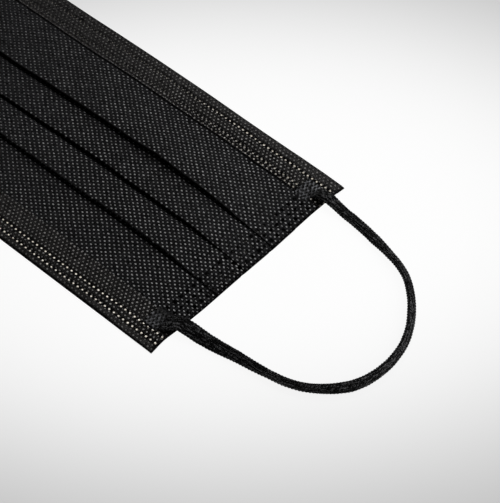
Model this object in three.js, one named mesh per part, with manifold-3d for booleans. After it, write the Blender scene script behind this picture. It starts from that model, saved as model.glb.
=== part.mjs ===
// A surgical mask with three knife pleats, folded flat and lying with its outer face up.
// Millimetres. x runs along the mask, y from the chin edge up to the nose edge, z up from the table.
// The origin is on the table, under the middle of the pleated body.
import * as THREE from "three";
import Module from "manifold-3d";

const wasm = await Module();
wasm.setup();

// Driving sizes.
const LENGTH = 175; // end edge to end edge
const HEIGHT = 95; // chin edge to nose edge, pleats closed
const CLOTH = 1; // wall of the bonded laminate
const GAP = 0.3; // between layers of cloth, and between pieces
const SEAM_GAP = 0.1; // between layers where they run into the welded bands
const FOLD_BEVEL = 0.25; // rounds the folded edges
const HALF = LENGTH / 2;

// Pleats, from the nose edge down. fold: the outer fold's height above the chin edge. depth: how far
// the cloth doubles back under it. lift: how far that fold springs up. puff: what it gains at PUFF_X.
const PLEATS = [
  { fold: 59.2, depth: 11, lift: 0.6, puff: 1.1 },
  { fold: 45.4, depth: 11, lift: 0.5, puff: 0.2 },
  { fold: 31.5, depth: 11, lift: 0.5, puff: 0.1 },
];
const PUFF_X = 30;
const PUFF_SPREAD = 30;

// The welded bands that hold the pleats shut at both ends.
const BAND = 10; // width
const BAND_PRESS = 0.4; // how much of the pleats' extra thickness is left in the weld
const PRESS_RUN = 22; // the pleats close over this length beside each band
const BAND_LAP = 1.2; // the pleats run this far into the band
const BAND_SLOPE = 2; // the band is pressed down to its thickness over this length

// The hems: strips of the inner ply, folded over the long edges onto the outer face.
const NOSE_HEM = 12.3; // width
const CHIN_HEM = 14.2;
const HEM_CLOTH = 1; // wall
const NOSE_BOW = 0.8; // the nose edge stands this much higher at mid length than at its ends

// How far the end edges draw in near the chin corners: height above the chin edge, and draw.
const END_DRAW = [
  { height: 0, draw: 0.4 },
  { height: 3, draw: 0.9 },
  { height: 11, draw: 0.8 },
  { height: 16, draw: 0 },
];

// The knurled welds that hold the loops' flattened ends. height: their middle above the chin edge.
const PAD_INSET = 8.05; // from the end edge to the pad's middle
const PAD_WIDTH = 5.7; // along x
const PAD_CORNER = 1;
const PAD_THICK = 0.8;
const PADS = [
  { name: "nose", height: 85.9, tall: 7.6 },
  { name: "chin", height: 10.9, tall: 7.0 },
];

// The ear loops: flat knitted elastic, out of the nose weld, round and back into the chin weld.
const LOOP_WIDTH = 4;
const LOOP_THICK = 2.4;
const LOOP_SIDES = 8;
const LOOP_STEPS = 36;
const LOOP_ROUTE = [
  [82.8, 38.1, 3.85],
  [85.4, 38.2, 3.85],
  [88.4, 38.2, 3.6],
  [92.0, 38.1, 2.5],
  [95.9, 37.9, 1.6],
  [102.5, 37.4, 1.4],
  [109.6, 36.3, 1.4],
  [116.8, 34.9, 1.5],
  [123.6, 33.1, 1.6],
  [129.4, 30.4, 1.7],
  [134.8, 26.0, 1.75],
  [139.6, 20.6, 1.8],
  [143.3, 15.0, 1.8],
  [145.8, 9.4, 1.85],
  [147.1, 3.8, 1.85],
  [147.5, -1.3, 1.9],
  [147.0, -6.8, 1.9],
  [145.6, -12.1, 1.9],
  [143.0, -16.8, 1.9],
  [139.1, -21.1, 1.9],
  [134.4, -24.8, 1.9],
  [129.0, -27.4, 1.9],
  [122.9, -29.0, 1.95],
  [116.1, -30.1, 1.95],
  [109.0, -31.0, 1.9],
  [101.8, -32.2, 1.8],
  [95.3, -33.0, 1.9],
  [91.3, -33.5, 2.6],
  [87.8, -34.2, 3.6],
  [85.2, -34.9, 3.85],
  [82.9, -35.4, 3.85],
];

const fromChin = (height) => height - HEIGHT / 2;

function smoothStep(t) {
  const clamped = THREE.MathUtils.clamp(t, 0, 1);
  return clamped * clamped * (3 - 2 * clamped);
}

// How open the pleats are at x: 1 in the middle, 0 at the welded bands.
function openness(x) {
  return smoothStep((HALF - BAND - Math.abs(x)) / PRESS_RUN);
}

// How far a pleat's outer fold stands above a tight stack of cloth.
function foldLift(pleat, x) {
  const puff = pleat.puff * Math.exp(-(((x - PUFF_X) / PUFF_SPREAD) ** 2));
  return openness(x) * (pleat.lift + puff);
}

// How far the end edge is drawn in at y.
function endDraw(y) {
  const last = END_DRAW[END_DRAW.length - 1];
  const height = y + HEIGHT / 2;
  if (height >= last.height) return last.draw;
  const above = END_DRAW.findIndex((row) => row.height > height);
  const [low, high] = [END_DRAW[Math.max(above, 1) - 1], END_DRAW[Math.max(above, 1)]];
  const share = Math.max(0, (height - low.height) / (high.height - low.height));
  return THREE.MathUtils.lerp(low.draw, high.draw, share);
}

const atEnd = (x, y) => Math.sign(x) * (HALF - endDraw(y));
const noseEdge = (x) => HEIGHT / 2 - NOSE_BOW * (x / HALF) ** 2;
const CHIN_EDGE = fromChin(0);
const NOSE_HEM_EDGE = fromChin(HEIGHT - NOSE_HEM);
const CHIN_HEM_EDGE = fromChin(CHIN_HEM);
const EDGE_INSET = HEM_CLOTH + GAP; // the body's edges lie inside the folded hems

// The body's section at x, as [y, z] round the cloth: down its face, then back up its underside.
function clothSection(x) {
  const pitch = CLOTH + SEAM_GAP + (GAP - SEAM_GAP) * openness(x);
  const top = noseEdge(x) - EDGE_INSET;
  const bottom = CHIN_EDGE + EDGE_INSET;
  const face = [[top, CLOTH], [NOSE_HEM_EDGE, CLOTH]];
  const back = [[top, 0], [NOSE_HEM_EDGE, 0]];
  for (const pleat of PLEATS) {
    const fold = fromChin(pleat.fold);
    const root = fold + pleat.depth;
    const lift = foldLift(pleat, x);
    // Over the top of the stack and round the outer fold, back to the root, then out below.
    face.push(
      [root, 2 * pitch + CLOTH],
      [fold + FOLD_BEVEL, lift + 2 * pitch + CLOTH],
      [fold, lift + 2 * pitch + CLOTH - FOLD_BEVEL],
      [fold, lift + pitch + FOLD_BEVEL],
      [fold + FOLD_BEVEL, lift + pitch],
      [root - CLOTH, pitch],
      [root - CLOTH, CLOTH],
      [fold, lift + CLOTH],
    );
    back.push(
      [root, 2 * pitch],
      [fold + CLOTH, lift + 2 * pitch],
      [fold + CLOTH, lift + pitch + CLOTH],
      [root - FOLD_BEVEL, pitch + CLOTH],
      [root, pitch + CLOTH - FOLD_BEVEL],
      [root, FOLD_BEVEL],
      [root - FOLD_BEVEL, 0],
      [fold, lift],
    );
  }
  face.push([CHIN_HEM_EDGE, CLOTH], [bottom, CLOTH]);
  back.push([CHIN_HEM_EDGE, 0], [bottom, 0]);
  return [...face, ...back.reverse()];
}

// A welded band's section: the same stack with no gaps, its extra thickness scaled by press.
function bandSection(x, press) {
  const pitch = CLOTH + SEAM_GAP;
  const extra = (z) => CLOTH + (z - CLOTH) * press;
  const top = noseEdge(x) - EDGE_INSET;
  const bottom = CHIN_EDGE + EDGE_INSET;
  const face = [[top, CLOTH], [NOSE_HEM_EDGE, CLOTH]];
  for (const pleat of PLEATS) {
    const fold = fromChin(pleat.fold);
    face.push(
      [fold + pleat.depth, extra(2 * pitch + CLOTH)],
      [fold, extra(2 * pitch + CLOTH)],
      [fold - FOLD_BEVEL, extra(CLOTH + SEAM_GAP)],
    );
  }
  face.push([CHIN_HEM_EDGE, CLOTH], [bottom, CLOTH]);
  return [...face, [bottom, 0], [top, 0]];
}

// A hem's section: a strip on the body's face that folds down round its long edge to the table.
function hemSection(edge, inner) {
  const side = Math.sign(edge - inner);
  const under = CLOTH + GAP;
  const over = under + HEM_CLOTH;
  return [
    [inner, under],
    [inner, over],
    [edge - side * 2 * FOLD_BEVEL, over],
    [edge, over - 2 * FOLD_BEVEL],
    [edge, FOLD_BEVEL],
    [edge - side * FOLD_BEVEL, 0],
    [edge - side * HEM_CLOTH, 0],
    [edge - side * HEM_CLOTH, under],
  ];
}

// A closed solid through rings of points, one ring per station along x.
function loft(rings) {
  const count = rings[0].length;
  const points = rings.flat();
  const triangles = [];
  rings.slice(1).forEach((_, i) => {
    for (let j = 0; j < count; j++) {
      const [a, b] = [i * count + j, i * count + ((j + 1) % count)];
      triangles.push([a, b, b + count], [a, b + count, a + count]);
    }
  });
  for (const [start, first] of [[0, true], [points.length - count, false]]) {
    const ring = points.slice(start, start + count).map(([, y, z]) => new THREE.Vector2(y, z));
    const flip = THREE.ShapeUtils.isClockWise(ring) !== first;
    for (const [a, b, c] of THREE.ShapeUtils.triangulateShape(ring, [])) {
      triangles.push((flip ? [c, b, a] : [a, b, c]).map((k) => k + start));
    }
  }
  const geometry = new THREE.BufferGeometry();
  geometry.setAttribute("position", new THREE.Float32BufferAttribute(points.flat(), 3));
  geometry.setIndex(triangles.flat());
  return facingOut(geometry);
}

// Turns a closed indexed mesh the right way round, if its volume comes out negative.
function facingOut(geometry) {
  const index = geometry.getIndex();
  const place = geometry.getAttribute("position");
  const [a, b, c] = [new THREE.Vector3(), new THREE.Vector3(), new THREE.Vector3()];
  let volume = 0;
  for (let i = 0; i < index.count; i += 3) {
    [a, b, c].forEach((corner, k) => corner.fromBufferAttribute(place, index.getX(i + k)));
    volume += a.dot(b.cross(c));
  }
  if (volume < 0) geometry.setIndex(Array.from(index.array).reverse());
  return geometry;
}

function toSolid(geometry) {
  const mesh = new wasm.Mesh({
    numProp: 3,
    vertProperties: geometry.getAttribute("position").array,
    triVerts: new Uint32Array(geometry.getIndex().array),
  });
  return new wasm.Manifold(mesh);
}

function toGeometry(solid) {
  const { vertProperties, triVerts } = solid.getMesh();
  const geometry = new THREE.BufferGeometry();
  geometry.setAttribute("position", new THREE.BufferAttribute(vertProperties, 3));
  geometry.setIndex(new THREE.BufferAttribute(triVerts, 1));
  return geometry;
}

// Stations from -reach to reach: even in the middle, closer where the pleats close.
function stations(reach, even, close) {
  const inner = HALF - BAND - PRESS_RUN;
  const middle = Array.from({ length: even + 1 }, (_, i) => -inner + (2 * inner * i) / even);
  const closing = Array.from({ length: close }, (_, i) => inner + ((reach - inner) * (i + 1)) / close);
  return [...closing.map((x) => -x).reverse(), ...middle, ...closing];
}

// The pleated cloth between the bands, and a band welded solid at each end.
function pleatedBody() {
  const reach = HALF - BAND + BAND_LAP;
  const cloth = stations(reach, 12, 5).map((x) => clothSection(x).map(([y, z]) => [x, y, z]));
  let solid = toSolid(loft(cloth));
  for (const side of [-1, 1]) {
    const flush = 1.02; // the pleats' ends stay just inside the band's steps
    const rows = [
      { x: HALF - BAND, press: flush },
      { x: reach, press: flush },
      { x: reach + BAND_SLOPE, press: BAND_PRESS },
      { x: HALF, press: BAND_PRESS },
    ];
    const band = rows.map((row) =>
      bandSection(side * row.x, row.press).map(([y, z]) => [
        row.x === HALF ? atEnd(side, y) : side * row.x, y, z,
      ]),
    );
    solid = solid.add(toSolid(loft(band)));
  }
  return toGeometry(solid);
}

// edgeAt gives the hem's long outer edge at x; inner is its straight inner edge.
function hem(edgeAt, inner) {
  const steps = 10;
  const rings = Array.from({ length: steps + 1 }, (_, i) => {
    const x = -HALF + (LENGTH * i) / steps;
    const last = i === 0 || i === steps;
    return hemSection(edgeAt(x), inner).map(([y, z]) => [last ? atEnd(x, y) : x, y, z]);
  });
  return loft(rings);
}

function weldPad(tall) {
  const [w, h, r] = [PAD_WIDTH / 2, tall / 2, PAD_CORNER];
  const shape = new THREE.Shape();
  shape.moveTo(-w + r, -h);
  shape.lineTo(w - r, -h);
  shape.absarc(w - r, -h + r, r, -Math.PI / 2, 0, false);
  shape.absarc(w - r, h - r, r, 0, Math.PI / 2, false);
  shape.absarc(-w + r, h - r, r, Math.PI / 2, Math.PI, false);
  shape.absarc(-w + r, -h + r, r, Math.PI, Math.PI * 1.5, false);
  return new THREE.ExtrudeGeometry(shape, { depth: PAD_THICK, bevelEnabled: false, curveSegments: 5 });
}

// The loop's tube. Its section is flat: thin across the table, wide along it.
function earLoop(side) {
  const route = LOOP_ROUTE.map(([x, y, z]) => new THREE.Vector3(side * x, y, z));
  const shape = new THREE.Shape(
    Array.from({ length: LOOP_SIDES }, (_, i) => {
      const turn = (2 * Math.PI * (i + 0.5)) / LOOP_SIDES;
      return new THREE.Vector2((LOOP_THICK / 2) * Math.cos(turn), (LOOP_WIDTH / 2) * Math.sin(turn));
    }),
  );
  const extrudePath = new THREE.CatmullRomCurve3(route, false, "centripetal");
  return new THREE.ExtrudeGeometry(shape, { steps: LOOP_STEPS, extrudePath });
}

const mask = new THREE.Group();

function addPiece(name, geometry, color, roughness, position = [0, 0, 0]) {
  const material = new THREE.MeshStandardMaterial({ color, roughness, metalness: 0 });
  const mesh = new THREE.Mesh(geometry, material);
  mesh.name = name;
  mesh.position.set(...position);
  mask.add(mesh);
}

const CLOTH_BLACK = 0x1c1c1d;
const HEM_BLACK = 0x201f1e;
const WELD_BLACK = 0x26272a;
const ELASTIC_BLACK = 0x161616;

addPiece("pleated_body", pleatedBody(), CLOTH_BLACK, 0.8);
addPiece("nose_hem", hem(noseEdge, NOSE_HEM_EDGE), HEM_BLACK, 0.75);
addPiece("chin_hem", hem(() => CHIN_EDGE, CHIN_HEM_EDGE), HEM_BLACK, 0.75);
for (const [hand, side] of [["right", 1], ["left", -1]]) {
  for (const pad of PADS) {
    const onHem = CLOTH + HEM_CLOTH + 2 * GAP;
    const place = [side * (HALF - PAD_INSET), fromChin(pad.height), onHem];
    addPiece(`loop_weld_${pad.name}_${hand}`, weldPad(pad.tall), WELD_BLACK, 0.5, place);
  }
  addPiece(`ear_loop_${hand}`, earLoop(side), ELASTIC_BLACK, 0.9);
}

export default mask;
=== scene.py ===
"""A black surgical mask, folded flat and lying with its outer face up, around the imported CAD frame.

Lengths inside the functions are millimetres in the frame's axes: x along the mask, y from the chin
edge up to the nose edge, z up from the table. Properties and finished meshes are in metres.
"""

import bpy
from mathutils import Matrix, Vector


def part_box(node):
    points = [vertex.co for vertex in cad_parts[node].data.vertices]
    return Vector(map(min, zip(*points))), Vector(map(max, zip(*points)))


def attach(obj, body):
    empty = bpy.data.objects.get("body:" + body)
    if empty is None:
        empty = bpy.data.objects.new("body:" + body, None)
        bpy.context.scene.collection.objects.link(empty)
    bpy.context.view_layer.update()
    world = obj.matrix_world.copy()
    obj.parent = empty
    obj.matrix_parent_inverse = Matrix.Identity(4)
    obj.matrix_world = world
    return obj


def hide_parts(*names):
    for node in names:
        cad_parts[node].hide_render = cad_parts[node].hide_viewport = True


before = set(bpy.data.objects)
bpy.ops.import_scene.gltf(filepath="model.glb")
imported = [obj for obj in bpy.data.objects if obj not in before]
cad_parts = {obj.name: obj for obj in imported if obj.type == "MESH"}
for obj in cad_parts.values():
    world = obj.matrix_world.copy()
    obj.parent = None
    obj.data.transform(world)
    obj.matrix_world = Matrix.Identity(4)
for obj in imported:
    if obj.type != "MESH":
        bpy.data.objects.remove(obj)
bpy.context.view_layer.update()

import math
from collections import namedtuple
from functools import partial

import bpy
import numpy as np
from mathutils import Matrix, Vector, noise

bl_info = {
    "name": "Pleated surgical mask",
    "version": (1, 0, 0),
    "blender": (4, 5, 0),
    "location": "View3D > Sidebar > Mask",
    "description": "Pleated cloth, bonded hems, welds and knitted ear loops of a flat surgical mask",
    "category": "Object",
}

MM = 0.001  # metres in a millimetre


def frame_box(node):
    """A CAD node's lowest and highest corners, in millimetres."""
    return [np.array(corner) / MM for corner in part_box(node)]


NOSE_HEM_LOW, NOSE_HEM_HIGH = frame_box("nose_hem")
CHIN_HEM_LOW, CHIN_HEM_HIGH = frame_box("chin_hem")
HALF = NOSE_HEM_HIGH[0]  # half the mask's length
NOSE_HEM_EDGE = NOSE_HEM_LOW[1]
CHIN_EDGE = CHIN_HEM_LOW[1]
CHIN_HEM_EDGE = CHIN_HEM_HIGH[1]

# The mask at stations along its length. Heights are above the chin edge: nose, the nose edge; hem, the
# nose hem's inner edge; fold, a pleat's outer fold, pleat 1 nearest the nose. rise is how far that fold
# springs up, and mouth the part of the rise that opens under it.
Station = namedtuple(
    "Station", "x nose hem fold_1 rise_1 mouth_1 fold_2 rise_2 mouth_2 fold_3 rise_3 mouth_3"
)
STATIONS = tuple(
    Station(*row)
    for row in (
        (-87.5, 94.40, 81.70, 58.60, 0.00, 0.00, 45.00, 0.00, 0.00, 31.40, 0.00, 0.00),
        (-77.5, 94.30, 81.70, 59.10, 0.00, 0.00, 45.50, 0.00, 0.00, 31.70, 0.00, 0.00),
        (-60.0, 94.20, 81.60, 58.80, 0.50, 0.40, 44.90, 0.40, 0.40, 31.50, 0.40, 0.28),
        (-36.5, 94.35, 81.65, 58.80, 0.70, 0.52, 44.80, 0.50, 0.50, 31.50, 0.50, 0.34),
        (-17.5, 94.75, 81.95, 59.45, 1.00, 0.68, 45.15, 0.60, 0.60, 31.70, 0.60, 0.40),
        (2.50, 95.00, 82.40, 59.65, 1.65, 0.72, 45.85, 0.70, 0.65, 31.85, 0.60, 0.40),
        (22.5, 95.05, 82.35, 59.85, 2.15, 0.72, 46.30, 0.90, 0.70, 31.95, 0.70, 0.43),
        (32.5, 94.95, 82.50, 60.05, 2.75, 0.72, 46.00, 0.90, 0.65, 32.20, 0.80, 0.43),
        (42.5, 94.80, 82.55, 59.90, 2.30, 0.72, 46.15, 0.93, 0.60, 32.35, 0.93, 0.42),
        (52.5, 94.75, 82.20, 59.90, 1.90, 0.64, 46.10, 0.90, 0.55, 32.25, 0.85, 0.40),
        (62.5, 94.75, 82.10, 59.75, 1.10, 0.42, 46.20, 0.70, 0.45, 32.15, 0.60, 0.38),
        (70.0, 94.85, 82.15, 59.60, 0.35, 0.26, 45.95, 0.35, 0.25, 32.00, 0.30, 0.25),
        (77.5, 94.85, 82.05, 59.40, 0.00, 0.00, 45.85, 0.00, 0.00, 31.90, 0.00, 0.00),
        (87.5, 94.60, 82.10, 58.60, 0.00, 0.00, 45.00, 0.00, 0.00, 31.40, 0.00, 0.00),
    )
)
# How dark shade is painted on the web under each pleat's fold, and over what run.
PLEAT_SHADES = ((0.45, 3.6), (0.65, 2.3), (0.3, 2.3))

PLEAT_DEPTH = 11.0  # the cloth doubles back this far under each fold
PLEAT_COUNT = 3
PLY_GAP = 0.03  # between a hem and the cloth that it wraps
WELD_GAP = 0.015  # between the folded layers in the welded bands

BAND = 10.0  # width of the welded band that holds the pleats shut at each end
PRESS_RUN = 14.0  # the cloth thickens over this length beside the band
SEALED = 1.6  # the end edge is pressed to a film over this width

DRAW_RUN = 8.0  # the end edges' drawing in dies out over this length
# How far the end edges draw in, by height above the chin edge. Minus is outwards.
END_DRAW = (
    (0.0, 0.1),
    (3.0, 0.4),
    (7.0, 0.65),
    (11.0, 0.3),
    (18.0, -0.05),
    (25.0, -0.2),
    (40.0, -0.1),
    (58.0, -0.3),
    (67.0, -0.1),
    (78.0, 0.1),
    (90.0, 0.0),
    (92.5, -0.3),
    (95.0, -0.5),
)

# Rows of weld dots. offset: above the nose hem's inner edge, or above the chin edge. reach: half the
# row's length. bright: how much of the pale ply shows in its dots. weak: the dots fade towards
# WEAK_PLACE, over this range of distances from it.
WEAK_PLACE = -40.0  # along the length
DotRow = namedtuple("DotRow", "offset reach bright weak")
NOSE_ROWS = (
    DotRow(7.85, 85.45, 0.76, (32.0, 92.0)),
    DotRow(2.5, 87.07, 0.44, (34.0, 104.0)),
    DotRow(0.8, 87.07, 0.34, (38.0, 114.0)),
)
CHIN_DRIFT = 0.7  # the chin rows run this much nearer the edge along the middle
NOWHERE = (-2.0, -1.0)  # no dot is at such a distance, so none of the row fades
CHIN_ROWS = (DotRow(6.7, 85.65, 1.0, NOWHERE), DotRow(3.35, 85.75, 1.0, NOWHERE))
ROW_MARK = 0.8  # the horn flattens the hem this far on both sides of a row
HEM_SWELL = 0.36  # how far the hem puffs up between its rows
HEM_TUCK = 3.0  # how far it runs on underneath
CHIN_OVERHANG = 0.25  # the folded chin hem stands this far out from the part's edge
HEMS = (("nose_hem", 1, NOSE_ROWS), ("chin_hem", -1, CHIN_ROWS))  # node, side of the mask, rows

# The right loop's route in metres, from the nose end's weld to the chin end's: the points of the part's
# own loop. The left loop is its mirror image.
LOOP_ROUTE = (
    (0.0828, 0.0381, 0.00385),
    (0.0854, 0.0382, 0.00385),
    (0.0884, 0.0382, 0.0036),
    (0.0920, 0.0381, 0.0025),
    (0.0959, 0.0379, 0.0016),
    (0.1025, 0.0374, 0.0014),
    (0.1096, 0.0363, 0.0014),
    (0.1168, 0.0349, 0.0015),
    (0.1236, 0.0331, 0.0016),
    (0.1294, 0.0304, 0.0017),
    (0.1348, 0.0260, 0.00175),
    (0.1396, 0.0206, 0.0018),
    (0.1433, 0.0150, 0.0018),
    (0.1458, 0.0094, 0.00185),
    (0.1471, 0.0038, 0.00185),
    (0.1475, -0.0013, 0.0019),
    (0.1470, -0.0068, 0.0019),
    (0.1456, -0.0121, 0.0019),
    (0.1430, -0.0168, 0.0019),
    (0.1391, -0.0211, 0.0019),
    (0.1344, -0.0248, 0.0019),
    (0.1290, -0.0274, 0.0019),
    (0.1229, -0.0290, 0.00195),
    (0.1161, -0.0301, 0.00195),
    (0.1090, -0.0310, 0.0019),
    (0.1018, -0.0322, 0.0018),
    (0.0953, -0.0330, 0.0019),
    (0.0913, -0.0335, 0.0026),
    (0.0878, -0.0342, 0.0036),
    (0.0852, -0.0349, 0.00385),
    (0.0829, -0.0354, 0.00385),
)
# The real cloth is thinner than the part's walls, so over it the loop lies lower: by LOOP_SINK times the
# square of its distance inside x = LOOP_SINK_FROM.
LOOP_SINK = 0.0151
LOOP_SINK_FROM = 95.0

# The loop leaves the chin weld aslant: how far it lies aside of its route, at shares of its length.
LOOP_ASIDE = ((0.0, 0.0), (0.9, 0.0), (0.947, 0.15), (0.968, 0.2), (0.986, -0.5), (1.0, -1.7))

# How the flat loop turns on its side and where its welded ends spread: share of its length, width,
# thickness, and twist in degrees.
LOOP_SHAPE = (
    (0.00, 4.6, 0.9, 0),
    (0.025, 4.7, 2.1, 0),
    (0.05, 4.2, 2.4, 0),
    (0.09, 4.0, 2.5, 0),
    (0.165, 4.1, 2.5, -4),
    (0.23, 4.0, 2.5, -38),
    (0.30, 3.9, 2.5, -52),
    (0.42, 3.9, 2.5, -63),
    (0.51, 4.1, 2.6, -74),
    (0.60, 4.2, 2.6, -68),
    (0.68, 4.0, 2.5, -88),
    (0.745, 4.0, 2.5, -88),
    (0.82, 4.1, 2.5, -58),
    (0.875, 4.6, 2.4, -34),
    (0.91, 5.1, 2.2, -20),
    (0.955, 5.7, 2.2, -8),
    (0.98, 5.8, 1.9, 0),
    (1.00, 5.6, 0.9, 0),
)


# ---------------------------------------------------------------- settings


def length_setting(name, description, default):
    """A length the user may change. default is in millimetres."""
    return bpy.props.FloatProperty(
        name=name, description=description, default=default * MM, unit="LENGTH", precision=5
    )


def srgb(code):
    """A linear RGB triple from an sRGB hex code such as "1b1b1d"."""
    parts = [int(code[i : i + 2], 16) / 255 for i in (0, 2, 4)]
    return [c / 12.92 if c <= 0.04045 else ((c + 0.055) / 1.055) ** 2.4 for c in parts]


def colour_setting(name, description, code):
    """A colour the user may change. code is its sRGB hex code."""
    return bpy.props.FloatVectorProperty(
        name=name, description=description, default=srgb(code), subtype="COLOR", size=3, min=0, max=1
    )


class ClothSettings(bpy.types.PropertyGroup):
    """The pleated laminate."""

    thickness: length_setting("Laminate", "Thickness of the three bonded plies", 0.45)
    slack: length_setting("Slack", "Gap between folded layers away from the welds", 0.12)
    bond_pitch: length_setting("Bond pitch", "Spacing of bond dots along a row", 2.4)
    bond_rows: length_setting("Bond rows", "Spacing of the rows of bond dots", 0.96)
    bond_size: length_setting("Bond size", "Length of a bond dot", 0.78)
    bond_width: length_setting("Bond width", "Width of a bond dot, across the mask's length", 0.52)
    fibre: colour_setting("Fibre", "Black polypropylene fibre", "1d1d1e")
    # The bond dots' pale grey is a painted glint: the fused film itself is black and glossy.
    bond: colour_setting("Bond", "Fibre fused to film in the bond dots", "b2b2b3")


class HemSettings(bpy.types.PropertyGroup):
    """The inner ply folded over the long edges, and its weld dots."""

    thickness: length_setting("Ply", "Thickness of the folded ply", 0.24)
    bond_pitch: length_setting("Bond pitch", "Spacing of the ply's bond dots along a row", 1.66)
    bond_rows: length_setting("Bond rows", "Spacing of the ply's rows of bond dots", 1.3)
    bond_size: length_setting("Bond size", "Length of one of the ply's bond dots", 0.74)
    bond_width: length_setting("Bond width", "Width of one of the ply's bond dots", 0.64)
    dot_pitch: length_setting("Dot pitch", "Spacing of the ultrasonic weld dots", 2.02)
    dot_size: length_setting("Dot size", "Length of a weld dot", 0.85)
    dot_width: length_setting("Dot width", "Width of a weld dot", 0.87)
    fibre: colour_setting("Fibre", "Black fibre of the inner ply", "2d2c2c")
    # The ply's bond dots' pale grey is a painted glint: the fused film itself is black and glossy.
    bond: colour_setting("Bond", "Fibre fused to film in the ply's bond dots", "9e9c9a")
    dot: colour_setting("Weld dot", "Pale filter ply that melts through in a weld dot", "fff4e2")


class LoopSettings(bpy.types.PropertyGroup):
    """The knitted ear loops and the welds that hold them."""

    rib_count: bpy.props.IntProperty(
        name="Ribs", description="Lengthwise ribs of the knit, all round", default=11, min=4, max=24
    )
    rib_depth: length_setting("Rib depth", "Depth of the grooves between the ribs", 0.3)
    knurl_pitch: length_setting("Knurl pitch", "Spacing of the weld's pits along a row", 1.52)
    knurl_depth: length_setting("Knurl depth", "Depth of the pits in the weld", 0.3)
    yarn: colour_setting("Yarn", "Black covered elastic yarn", "565657")
    # The melt's pale blue-grey is a painted highlight: the melted yarn itself is black and glossy.
    melt: colour_setting("Melt", "Pressed and melted yarn in the weld", "7f8084")


class StageSettings(bpy.types.PropertyGroup):
    """The floor, the lights and the camera."""

    floor: colour_setting("Floor", "Plain pale floor", "3c3c3c")
    # glow: the table's emission, a painted pool of light.
    glow: bpy.props.FloatProperty(
        name="Glow", description="How brightly the table's opal sheet is lit from below", default=0.947
    )
    key_power: bpy.props.FloatProperty(
        name="Key power", description="Power of the large soft light", default=1.25, unit="POWER"
    )
    fill_power: bpy.props.FloatProperty(
        name="Fill power", description="Power of the soft light over the table", default=2.0, unit="POWER"
    )
    room: bpy.props.FloatProperty(
        name="Room", description="Brightness of the pale room round the table", default=0.03
    )
    lens: bpy.props.FloatProperty(
        name="Lens", description="Focal length on a 36 mm sensor", default=158.2 * MM, unit="LENGTH"
    )


# ---------------------------------------------------------------- nodes


def add_node(tree, kind, *inputs, **settings):
    """Adds a node. kind is its type, or the operation of a Math node. inputs are sockets or plain values for
    its inputs in order, or one dict of them by the inputs' names or numbers. A node given as an input stands
    for its first output."""
    if kind.isupper():
        kind, settings = "ShaderNodeMath", {"operation": kind, **settings}
    node = tree.nodes.new(kind)
    for key, value in settings.items():
        setattr(node, key, value)
    by_key = inputs[0] if inputs and isinstance(inputs[0], dict) else dict(enumerate(inputs))
    for key, value in by_key.items():
        if isinstance(value, bpy.types.Node):
            value = value.outputs[0]
        if isinstance(value, bpy.types.NodeSocket):
            tree.links.new(value, node.inputs[key])
        else:
            node.inputs[key].default_value = value
    return node


# ---------------------------------------------------------------- materials


def new_material(name):
    """An empty node material, and add_node for its tree."""
    material = bpy.data.materials.new(name)
    material.use_nodes = True
    material.node_tree.nodes.clear()
    return material, partial(add_node, material.node_tree)


def finish_material(add, looks):
    """Gives a material its shader, with looks as the shader's inputs, and its output."""
    add("ShaderNodeOutputMaterial", {"Surface": add("ShaderNodeBsdfPrincipled", looks)})


def cloth_place(add):
    """The cloth's own coordinates, in millimetres: along the mask, and down the unfolded cloth."""
    return add("ShaderNodeAttribute", attribute_name="cloth_mm").outputs["Vector"]


def dot_lattice(add, place, pitch, rows, length, width):
    """A staggered lattice of ovals on place. Returns each point's distance from the nearest oval's middle,
    1 on its rim, and a random tone for that oval."""
    # The rows waver by up to half a millimetre over 3 mm, as stretched cloth does.
    wobble = add("ShaderNodeTexNoise", {"Vector": place, "Scale": 0.35, "Detail": 1.0})
    moved = (wobble.outputs["Color"], (0.9, 0.6, 0.0), place)
    moved = add("ShaderNodeVectorMath", *moved, operation="MULTIPLY_ADD")
    split = add("ShaderNodeSeparateXYZ", moved)
    row = add("DIVIDE", split.outputs[1], rows)
    row_number = add("FLOOR", row)
    shift = add("MULTIPLY", add("MODULO", row_number, 2.0), 0.5)
    column = add("ADD", add("DIVIDE", split.outputs[0], pitch), shift)
    cell = add("ShaderNodeCombineXYZ", add("FLOOR", column), row_number)
    tone = add("ShaderNodeTexWhiteNoise", {"Vector": cell}, noise_dimensions="3D")
    away = []
    for number, spacing, size in ((column, pitch, length), (row, rows, width)):
        offset = add("SUBTRACT", add("FRACT", number), 0.5)
        away.append(add("MULTIPLY", offset, 2 * spacing / size))
    away = add("ShaderNodeCombineXYZ", *away)
    distance = add("ShaderNodeVectorMath", away, operation="LENGTH").outputs[1]
    return distance, tone.outputs["Value"]


def fibre_web(add, place):
    """Fine tangled fibres, drawn out along the mask, as 0 to 1. A fibre is 0.02 mm thick, too fine to
    show, so this draws the clumps that they lie in, about 0.7 mm across and 1.5 mm long."""
    drawn = add("ShaderNodeMapping", {"Vector": place, "Scale": (0.45, 1.0, 1.0)})
    tangle = {"Vector": drawn, "Scale": 1.5, "Detail": 3.0, "Roughness": 0.7, "Distortion": 0.8}
    return add("ShaderNodeTexNoise", tangle)


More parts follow.
